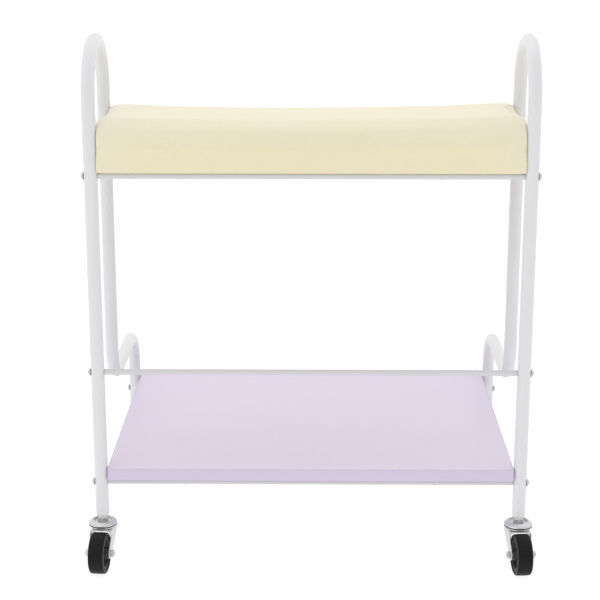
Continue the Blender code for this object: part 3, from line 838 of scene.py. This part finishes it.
def blow_up(pad, held_below, frames=20):
    """Cloth under pressure from inside, as the places of its points.

    A point's travel is capped, and fades out by 3 f^2 - 2 f^3 towards the board, which the
    cover is drawn tight over.
    """
    scene = bpy.context.scene
    remesh = pad.modifiers.new("remesh", "REMESH")
    remesh.mode = "VOXEL"
    remesh.voxel_size = CLOTH_GRID
    remesh.use_smooth_shade = True
    apply_modifiers(pad)
    before = points_of(pad)
    cloth = pad.modifiers.new("cloth", "CLOTH")
    settings = cloth.settings
    settings.use_pressure = True
    settings.uniform_pressure_force = CLOTH_PRESSURE
    settings.tension_stiffness = 18
    settings.compression_stiffness = 18
    settings.bending_stiffness = 1.2
    settings.effector_weights.gravity = 0
    cloth.point_cache.frame_start = 1
    cloth.point_cache.frame_end = frames
    for number in range(1, frames + 1):
        scene.frame_set(number)
    shaped = pad.evaluated_get(bpy.context.evaluated_depsgraph_get())
    travel = points_of(shaped) - before
    length = np.linalg.norm(travel, axis=1, keepdims=True)
    free = np.clip((before[:, 2:] - held_below) / CLOTH_FADE, 0, 1)
    travel *= np.minimum(1, CLOTH_TRAVEL / np.maximum(length, 1e-9)) * free * free * (3 - 2 * free)
    pad.modifiers.clear()
    scene.frame_set(1)
    return before + travel


def points_of(thing):
    places = np.empty(len(thing.data.vertices) * 3)
    thing.data.vertices.foreach_get("co", places)
    return places.reshape(-1, 3)


def apply_modifiers(thing):
    shaped = thing.evaluated_get(bpy.context.evaluated_depsgraph_get())
    mesh = bpy.data.meshes.new_from_object(shaped)
    thing.modifiers.clear()
    thing.data = mesh


class TROLLEY_OT_cushion(bpy.types.Operator):
    """Cushion: vinyl blown over its foam, a hem below the board, and the staples in it"""

    bl_idname = "trolley.cushion"
    bl_label = "Cushion"

    def execute(self, context):
        low, high = corners("cushion_pad")
        points, faces, _ = skin(cushion_start(low, high))
        pad = added("cushion_cover", new_mesh("cushion_cover", points, faces))
        board_top = corners("cushion_board")[1][2]
        places = blow_up(pad, board_top)
        pad.data.vertices.foreach_set("co", self.hold(places, low, high).ravel())
        pad.data.update()
        finer = pad.modifiers.new("finer", "SUBSURF")
        finer.levels = 1
        finer.render_levels = 1
        apply_modifiers(pad)
        pad.data.materials.clear()
        pad.data.materials.append(finish_of("cream_vinyl"))
        pad.data.shade_smooth()
        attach(pad, "trolley")
        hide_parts("cushion_pad")
        self.add_hem(low, high)
        self.add_staples(low, high)
        paint("cushion_board", "plywood")
        return {"FINISHED"}

    def hold(self, places, low, high):
        """Let the blown cover swell round the posts, and keep it tight where the hem begins.

        At depth y a post of radius r at depth p leaves |x| <= X - sqrt(r^2 - (y - p)^2),
        with X the distance of the post's axis from the middle.  The front and rear may bulge
        with the square root of the height, up the cover's wall.
        """
        margin, wall, most_bulge, lowest = 0.0002, 0.0125, 0.0020, 0.7
        hem = sizes().hem_height
        tube_low, tube_high = corners("side_frame_right")
        axis, radius = (tube_low[0] + tube_high[0]) / 2, (tube_high[0] - tube_low[0]) / 2
        front = tube_low[1] + radius
        reach = np.full(len(places), high[0] + sizes().cushion_swell)
        for post in (front, front + 2 * sizes().arch_radius):
            depth = radius ** 2 - (places[:, 1] - post) ** 2
            beside_post = axis - np.sqrt(np.maximum(depth, 0)) - margin
            reach = np.where(depth > 0, np.minimum(reach, beside_post), reach)
        places[:, 0] = np.clip(places[:, 0], -reach, reach)
        tight = np.clip((places[:, 2] - low[2] - hem) / wall, 0, 1)
        bulge = most_bulge * tight ** 0.5
        places[:, 1] = np.clip(places[:, 1], low[1] - bulge, high[1] + bulge)
        places[:, 2] = np.maximum(places[:, 2], low[2] + lowest * hem)
        return places

    def add_hem(self, low, high):
        """The cover's edge: round the board's side, then turned in below it.

        A closed section, as inset and height, carried round the cushion's outline.
        """
        under, wrap, fold, corner, columns = sizes().hem_under, 0.0010, 0.0010, 0.0030, 30
        hem_top, below, board = low[2] + sizes().hem_height, low[2] - HEM_SHEET, low[2] - 0.00005
        section = rounded([
            (wrap / 2, hem_top, 0), (0.0, hem_top, fold), (0.0, below, fold),
            (under, below, 0), (under, board, 0), (wrap, board, 0), (wrap, hem_top, 0),
            (wrap / 2, hem_top, 0)], 5)[:-1]
        half = (high - low) / 2 - sizes().hem_inset
        grid = outline_rings((low + high) / 2, half, corner, *section.T, columns)
        piece("cushion_hem", skin(grid, closed=True), "cream_vinyl", "trolley", [], 50)

    def add_staples(self, low, high):
        """Flat wire staples through the hem, a row along each side of the board."""
        length, wire, stand, from_hem = 0.010, 0.0005, 0.0005, 0.0028
        inset = sizes().hem_under - from_hem
        centre, half = (low + high) / 2, (high - low) / 2
        along = np.linspace(-1, 1, 9) * (half[0] - 2 * sizes().hem_under)
        across = np.linspace(-1, 1, 3) * (half[1] - 2 * sizes().hem_under)
        sides = [(x, side * (half[1] - inset), 0) for side in (-1, 1) for x in along]
        sides += [(side * (half[0] - inset), y, 1) for side in (-1, 1) for y in across]
        spots = np.array(sides)
        corner = np.array([(x, y, z) for x in (-1, 1) for y in (-1, 1) for z in (-1, 1)]) / 2
        lying = corner * (length, wire, stand)
        standing = corner * (wire, length, stand)
        boxes = np.where(spots[:, 2, None, None] > 0, standing, lying)
        boxes[..., :2] += spots[:, None, :2] + centre[:2]
        boxes[..., 2] += low[2] - HEM_SHEET - stand / 2
        quad = np.array([(0, 1, 3, 2), (4, 6, 7, 5), (0, 4, 5, 1),
                         (2, 3, 7, 6), (0, 2, 6, 4), (1, 5, 7, 3)])
        faces = (quad[None] + 8 * np.arange(len(spots))[:, None, None]).reshape(-1, 4).tolist()
        piece("cushion_staples", (boxes.reshape(-1, 3), faces), "zinc", "trolley")


# ---------------------------------------------------------------------------- casters
def caster_frames(end, side):
    """The caster's upright frame at its swivel axis, the frame turned with its fork, the
    level distance from that axis to the axle, and the axle's middle."""
    joints = {joint["name"]: joint for joint in frame["record"]["behaviour"]["joints"]}
    swivel = np.array(joints[f"{end}_{side}_swivel"]["pos_m"], float)
    axle = np.array(joints[f"{end}_{side}_roll"]["pos_m"], float)
    trail = axle - swivel
    trail[2] = 0
    base = np.array([swivel[0], swivel[1], 0])
    y_axis = -trail / np.linalg.norm(trail)
    up = np.array([0, 0, 1.0])
    upright = frame_matrix(base, [1, 0, 0], [0, 1, 0], up)
    swung = frame_matrix(base, np.cross(y_axis, up), y_axis, up)
    return upright, swung, np.linalg.norm(trail), axle


def touching_point(point, centre, radius, side):
    """Where a line from a point touches a circle."""
    away = np.array(point) - centre
    turn = math.atan2(away[1], away[0]) + side * math.acos(radius / np.linalg.norm(away))
    return centre + radius * np.array([math.cos(turn), math.sin(turn)])


def fork_edges(z, crown_z, trail, axle_z):
    """Front and rear edge of a leg at each height.

    They run upright at the crown, then along the tangents to its round foot, and last
    round the foot, where |y + trail| = sqrt(boss^2 - (z - axle)^2).
    """
    size = sizes()
    knee = crown_z - size.fork_knee
    axle = np.array([-trail, axle_z])
    swing = np.sqrt(np.maximum(size.fork_boss ** 2 - (z - axle_z) ** 2, 0))
    edges = []
    for side in (-1, 1):
        start = np.array([side * size.fork_reach, knee])
        foot = touching_point(start, axle, size.fork_boss, -side)
        line = np.interp(z, [foot[1], knee], [foot[0], start[0]])
        edges.append(np.where(z > foot[1], line, -trail + side * swing))
    return edges


def fork_grid(crown_z, trail, axle_z):
    """The pressed fork: a plate's section carried along an arched route in X-Z.

    The route climbs one leg, turns a shoulder, crosses the crown and goes down the other
    leg; its second half mirrors the first.  The section is the plate's thickness with
    rounded edges, as wide as the leg's reach at that height.
    """
    size = sizes()
    plate = size.fork_plate
    half = size.fork_inside + plate / 2
    bend = size.fork_bend
    foot = axle_z - size.fork_boss * 0.998
    leg = np.concatenate([foot + (axle_z - foot) * (1 - np.cos(np.linspace(0, math.pi / 2, 12))),
                          np.linspace(axle_z, crown_z - bend, 26)[1:]])
    turn = np.linspace(0, math.pi / 2, 12)[1:]
    shoulder_x = half - bend + bend * np.cos(turn)
    shoulder_z = crown_z - bend + bend * np.sin(turn)
    crown = np.linspace(half - bend, 0, 6)[1:]
    route_x = np.concatenate([np.full(len(leg), half), shoulder_x, crown])
    route_z = np.concatenate([leg, shoulder_z, np.full(len(crown), crown_z)])
    normal_x = np.concatenate([np.ones(len(leg)), np.cos(turn), np.zeros(len(crown))])
    normal_z = np.concatenate([np.zeros(len(leg)), np.sin(turn), np.ones(len(crown))])
    route_x, normal_x = (np.concatenate([a, -a[-2::-1]]) for a in (route_x, normal_x))
    route_z, normal_z = (np.concatenate([a, a[-2::-1]]) for a in (route_z, normal_z))
    front, rear = fork_edges(route_z, crown_z, trail, axle_z)
    share = np.linspace(0, 1, 9)
    edge = np.linspace(-math.pi / 2, math.pi / 2, 7)[1:-1]
    lift = np.concatenate([np.ones(9), -np.sin(edge), -np.ones(9), np.sin(edge)]) * plate / 2
    along = np.concatenate([share, np.ones(5), share[::-1], np.zeros(5)])
    bulge = np.concatenate([np.zeros(9), np.cos(edge), np.zeros(9), -np.cos(edge)]) * plate / 2
    width = np.maximum(rear - front - plate, plate * 0.2)
    y = front[:, None] + plate / 2 + along[None] * width[:, None] + bulge[None]
    x = route_x[:, None] + normal_x[:, None] * lift[None]
    z = route_z[:, None] + normal_z[:, None] * lift[None]
    return np.stack([x, y, z], -1)


def place_turned(name, profile, matrix, slot_name, body, replaced=(), columns=64, crease=32):
    """A turned piece, whose profile closes on itself."""
    surface = skin(moved(turned(profile, columns), matrix), closed=True)
    piece(name, surface, slot_name, body, replaced, crease)


def closed_profile(points, segments=3):
    """A rounded profile that closes on itself, started in the middle of its first side.

    Its points are (radius, height, rounding of the corner).
    """
    first, second = np.array(points[0][:2]), np.array(points[1][:2])
    start = (*((first + second) / 2), 0)
    return rounded([start, *points[1:], points[0], start], segments)[:-1]


def make_cap(prefix, upright):
    """The raceway cap: a low dome with a rolled rim and a recess for the stem's collar."""
    low, high = corners(prefix + "_cap")
    rim, bottom, top = (high[0] - low[0]) / 2, low[2], high[2]
    bore, recess, floor = sizes().pin + CLEARANCE, sizes().cap_recess, top - sizes().cap_depth
    rolled, shoulder = bottom + 0.0018, bottom + 0.0034
    profile = closed_profile([
        (bore, bottom, 0.0), (rim - 0.0002, bottom, 0.0005), (rim, rolled, 0.0008),
        (rim - 0.0018, shoulder, 0.0014), (rim - 0.0044, top - 0.0003, 0.0016),
        (recess + 0.0006, top, 0.0006), (recess, top - 0.0008, 0.0005),
        (recess - 0.0004, floor, 0.0008), (bore, floor, 0.0)])
    place_turned(prefix + "_race_cap", profile, upright, "zinc", "trolley", [prefix + "_cap"])


def make_socket(prefix, upright):
    """The plug: a tapered collar that carries on the tube, and its shank inside."""
    low, high = corners(prefix + "_socket")
    tube = (high[0] - low[0]) / 2
    seat = corners("side_frame_left")[0][2] - 0.0003
    bore, foot, shank, taper, soft = 0.0043, 0.0059, tube - 0.0018, seat - 0.0016, 0.0004
    profile = closed_profile([
        (bore, low[2], soft), (foot, low[2], 0.0005), (tube - 0.0012, taper, 0.0020),
        (tube - 0.00005, seat, soft), (shank, seat, 0.0), (shank, high[2], soft),
        (bore, high[2], soft)])
    place_turned(prefix + "_tube_plug", profile, upright, "white_nylon", "trolley",
                 [prefix + "_socket"])


def make_stem(prefix, upright):
    """The kingpin with its hexagon collar and the riveted head under the crown."""
    low, high = corners(prefix + "_stem")
    pin, flats = sizes().pin, sizes().collar_flats
    corner = flats / math.cos(math.pi / 6)
    collar = corners(prefix + "_cap")[1][2] - sizes().cap_depth + CLEARANCE
    collar_top = collar + sizes().collar_height
    rivet, cut, chamfer, tip = pin + 0.0019, corner - 0.0007, 0.0004, 0.0008
    rows = [(pin * 0.8, low[2], 0, 0), (rivet, low[2] + 0.0006, 0, 0),
            (rivet, low[2] + 0.0014, 0, 0), (pin, low[2] + 0.0015, 0, 0), (pin, collar, 0, 0),
            (cut, collar, 1, flats), (corner, collar + chamfer, 1, flats),
            (corner, collar_top - chamfer, 1, flats), (cut, collar_top, 1, flats),
            (pin, collar_top, 0, 0), (pin, high[2] - tip, 0, 0), (pin - tip, high[2], 0, 0)]
    surface = skin(moved(hexagonal(rows), upright))
    piece(prefix + "_kingpin", surface, "zinc", "trolley", [prefix + "_stem"], 30)


def make_fork(prefix, swung, trail, axle_z):
    """The pressed legs and crown, and the raceway ring on top of them."""
    cap_low, cap_high = corners(prefix + "_cap")
    rim = (cap_high[0] - cap_low[0]) / 2
    body = prefix + "_swivel"
    size = sizes()
    top = corners(prefix + "_fork")[1][2]
    crown_top = top - size.race_height
    crown_z = crown_top - size.fork_plate / 2
    surface = skin(moved(fork_grid(crown_z, trail, axle_z), swung))
    piece(prefix + "_fork_legs", surface, "zinc", body, [prefix + "_fork"], 40)
    throat, groove = rim - size.race_throat, crown_top + size.race_groove
    bore = size.pin + CLEARANCE
    profile = closed_profile([
        (bore, crown_top, 0.0), (throat, crown_top, 0.0), (throat, groove, 0.0002),
        (rim - 0.0002, groove, 0.0005), (rim, top - 0.0003, 0.0006), (rim - 0.0010, top, 0.0003),
        (bore, top, 0.0)])
    place_turned(prefix + "_race_ring", profile, swung, "zinc", body)


def make_axle(prefix, axle, swung):
    """The axle bolt and its nut, both with chamfered hexagons."""
    body = prefix + "_swivel"
    x_axis = swung[:3, 0]
    sign = math.copysign(1, (middle(prefix + "_axle_nut") - axle) @ x_axis)
    seat = sizes().fork_inside + sizes().fork_plate + CLEARANCE
    pin, flats = sizes().axle_pin, sizes().axle_flats
    corner = flats / math.cos(math.pi / 6)
    head_height, nut_height, past_nut, tip = 0.0030, 0.0040, 0.0010, 0.0005
    head_top, nut_top = seat + head_height, seat + nut_height
    end = nut_top + past_nut
    rows = [(pin * 0.7, -end, 0, 0), (pin, -end + tip, 0, 0), (pin, seat, 0, 0),
            (corner - 0.0003, seat, 1, flats), (corner, seat + 0.0002, 1, flats),
            (corner, head_top - 0.0007, 1, flats), (corner - 0.0005, head_top - 0.0003, 1, flats),
            (flats * 0.9, head_top, 0, 0), (flats * 0.4, head_top - 0.0001, 0, 0)]
    surface = skin(moved(hexagonal(rows), facing(axle, -sign * x_axis)))
    piece(prefix + "_axle", surface, "zinc", body, [prefix + "_axle_bolt"], 30)
    hole, cut, thread = pin + CLEARANCE, corner - 0.0006, 0.0004
    rows = [(hole, seat, 0, 0), (cut, seat, 1, flats), (corner, seat + 0.0004, 1, flats),
            (corner, nut_top - 0.0008, 1, flats), (cut, nut_top - 0.0003, 1, flats),
            (flats * 0.92, nut_top, 0, 0), (hole + thread, nut_top, 0, 0),
            (hole, nut_top - thread, 0, 0)]
    surface = skin(moved(hexagonal(rows), facing(axle, sign * x_axis)), closed=True)
    piece(prefix + "_lock_nut", surface, "zinc", body, [prefix + "_axle_nut"], 30)


def mirrored_profile(side, middle_points=(), segments=3):
    """A closed profile from its half on the +Z side, and the points between the halves."""
    mirrored = [(radius, -height, rounding) for radius, height, rounding in reversed(side)]
    return closed_profile([mirrored[-1], *side, *middle_points, *mirrored[:-1]], segments)


def make_wheel(prefix, axle, swung, radius):
    """The tyre, with rounded shoulders, and the hub with its deep recess and boss."""
    body = prefix + "_wheel"
    across = facing(axle, swung[:3, 0])
    size = sizes()
    half, seat = size.tyre_half, radius - size.tyre_height
    lip, crown, crown_rounding = 0.0010, 0.0003, 0.02
    side = [(seat, half - lip, 0.0002), (seat + lip, half, 0.0008),
            (radius - crown, half, size.tyre_shoulder)]
    profile = mirrored_profile(side, [(radius, 0, crown_rounding)], 6)
    place_turned(prefix + "_tread", resample(profile, 96), across, "black_rubber", body,
                 [prefix + "_tyre"], 96, crease=60)
    bore, face = size.axle_pin + CLEARANCE, 0.0107
    boss, rim_face = bore + 0.0035, half - 0.0012
    web_inner, web_outer, hollow = 0.0040, 0.0030, 0.0015
    side = [(bore, face, 0.0003), (boss, face, 0.0006), (boss + 0.0012, web_inner, hollow),
            (seat - 0.0034, web_outer, hollow), (seat - 0.0022, rim_face, 0.0006),
            (seat - CLEARANCE, rim_face, 0.0004)]
    place_turned(prefix + "_hub", mirrored_profile(side), across, "black_nylon", body,
                 [prefix + "_wheel_hub"])


class TROLLEY_OT_casters(bpy.types.Operator):
    """Casters: plug, kingpin, raceways, fork, axle, hub and tyre under each leg"""

    bl_idname = "trolley.casters"
    bl_label = "Casters"

    def execute(self, context):
        for end in ENDS:
            for side in SIDES:
                prefix = f"caster_{end}_{side}"
                upright, swung, trail, axle = caster_frames(end, side)
                low, high = corners(prefix + "_tyre")
                make_socket(prefix, upright)
                make_stem(prefix, upright)
                make_cap(prefix, upright)
                make_fork(prefix, swung, trail, axle[2])
                make_axle(prefix, axle, swung)
                make_wheel(prefix, axle, swung, (high[2] - low[2]) / 2)
        return {"FINISHED"}


# ------------------------------------------------------------------------------ stage
class TROLLEY_OT_stage(bpy.types.Operator):
    """Camera, pale floor, and the soft light of a white studio"""

    bl_idname = "trolley.stage"
    bl_label = "Stage"

    def execute(self, context):
        scene = bpy.context.scene
        scene.view_settings.view_transform = "Standard"
        lens = bpy.data.cameras.new("camera")
        lens.lens = LENS_MM
        lens.sensor_width = SENSOR_MM
        camera = added("camera", lens)
        front_leg = middle("caster_front_left_stem")[1]
        camera.location = (CAMERA_ASIDE, front_leg - CAMERA_BACK, CAMERA_HEIGHT)
        camera.rotation_euler = np.radians([90 - CAMERA_TILT, 0, CAMERA_TURN])
        scene.camera = camera
        self.add_floor()
        self.add_world()
        self.add_lamp("key_light", place=(-1.6, -2.2, 2.9), size=2.4, power=13)
        self.add_lamp("top_light", place=(0.3, 0.6, 3.2), size=2.6, power=7)
        return {"FINISHED"}

    def add_floor(self):
        """White paper that glows a little, and reaches further back than to the front."""
        mesh = bpy.data.meshes.new("studio_floor")
        wide, deep = FLOOR_REACH, 2 * FLOOR_REACH
        corner_points = [(-wide, -wide, 0), (wide, -wide, 0), (wide, deep, 0), (-wide, deep, 0)]
        mesh.from_pydata(corner_points, [], [(0, 1, 2, 3)])
        floor = added("studio_floor", mesh)
        paper = Finish("studio_paper", Roughness=0.9, Specular_IOR_Level=0.1,
                       Emission_Color=(1, 1, 1, 1), Emission_Strength=0.90)
        dull, bright = (0.17, 0.17, 0.17), (0.19, 0.19, 0.19)
        paper.feed("Base Color", paper.blend(paper.noise(scale=3.0), dull, bright))
        mesh.materials.append(paper.material)

    def add_world(self):
        """A white room, a little darker on the camera's side."""
        world = bpy.data.worlds.new("studio")
        world.use_nodes = True
        bpy.context.scene.world = world
        nodes, links = world.node_tree.nodes, world.node_tree.links
        where = nodes.new("ShaderNodeTexCoord")
        split = nodes.new("ShaderNodeSeparateXYZ")
        shade = nodes.new("ShaderNodeMapRange")
        limits = {"From Min": -0.9, "From Max": 0.2, "To Min": 0.66, "To Max": 1.06}
        for limit, number in limits.items():
            shade.inputs[limit].default_value = number
        links.new(where.outputs["Generated"], split.inputs[0])
        links.new(split.outputs[1], shade.inputs["Value"])
        links.new(shade.outputs["Result"], nodes["Background"].inputs["Strength"])
        nodes["Background"].inputs["Color"].default_value = (1, 1, 1, 1)

    def add_lamp(self, name, place, size, power):
        """A square lamp aimed at the trolley, of so many metres and watts."""
        data = bpy.data.lights.new(name, "AREA")
        data.size = size
        data.energy = power
        lamp = added(name, data)
        lamp.location = place
        aim = np.array(LOOKED_AT) - np.array(place)
        lamp.rotation_euler = (math.atan2(math.hypot(aim[0], aim[1]), -aim[2]), 0,
                               math.atan2(aim[1], aim[0]) - math.pi / 2)


class TROLLEY_PT_panel(bpy.types.Panel):
    """The trolley's operators, in building order"""

    bl_idname = "TROLLEY_PT_panel"
    bl_label = "Salon trolley"
    bl_space_type = "VIEW_3D"
    bl_region_type = "UI"
    bl_category = "Trolley"

    def draw(self, context):
        for operator in OPERATORS:
            self.layout.operator(operator.bl_idname)


OPERATORS = (TROLLEY_OT_stage, TROLLEY_OT_side_frames, TROLLEY_OT_rails, TROLLEY_OT_bolts,
             TROLLEY_OT_cushion, TROLLEY_OT_shelf, TROLLEY_OT_casters)
CLASSES = (TrolleySizes, TrolleyColours, *OPERATORS, TROLLEY_PT_panel)


def register():
    for item in CLASSES:
        bpy.utils.register_class(item)
    bpy.types.Scene.trolley_sizes = PointerProperty(type=TrolleySizes)
    bpy.types.Scene.trolley_colours = PointerProperty(type=TrolleyColours)


def unregister():
    del bpy.types.Scene.trolley_colours
    del bpy.types.Scene.trolley_sizes
    for item in reversed(CLASSES):
        bpy.utils.unregister_class(item)


def main():
    register()
    bpy.ops.trolley.stage()
    bpy.ops.trolley.side_frames()
    bpy.ops.trolley.rails()
    bpy.ops.trolley.bolts()
    bpy.ops.trolley.cushion()
    bpy.ops.trolley.shelf()
    bpy.ops.trolley.casters()


if __name__ == "__main__":
    main()
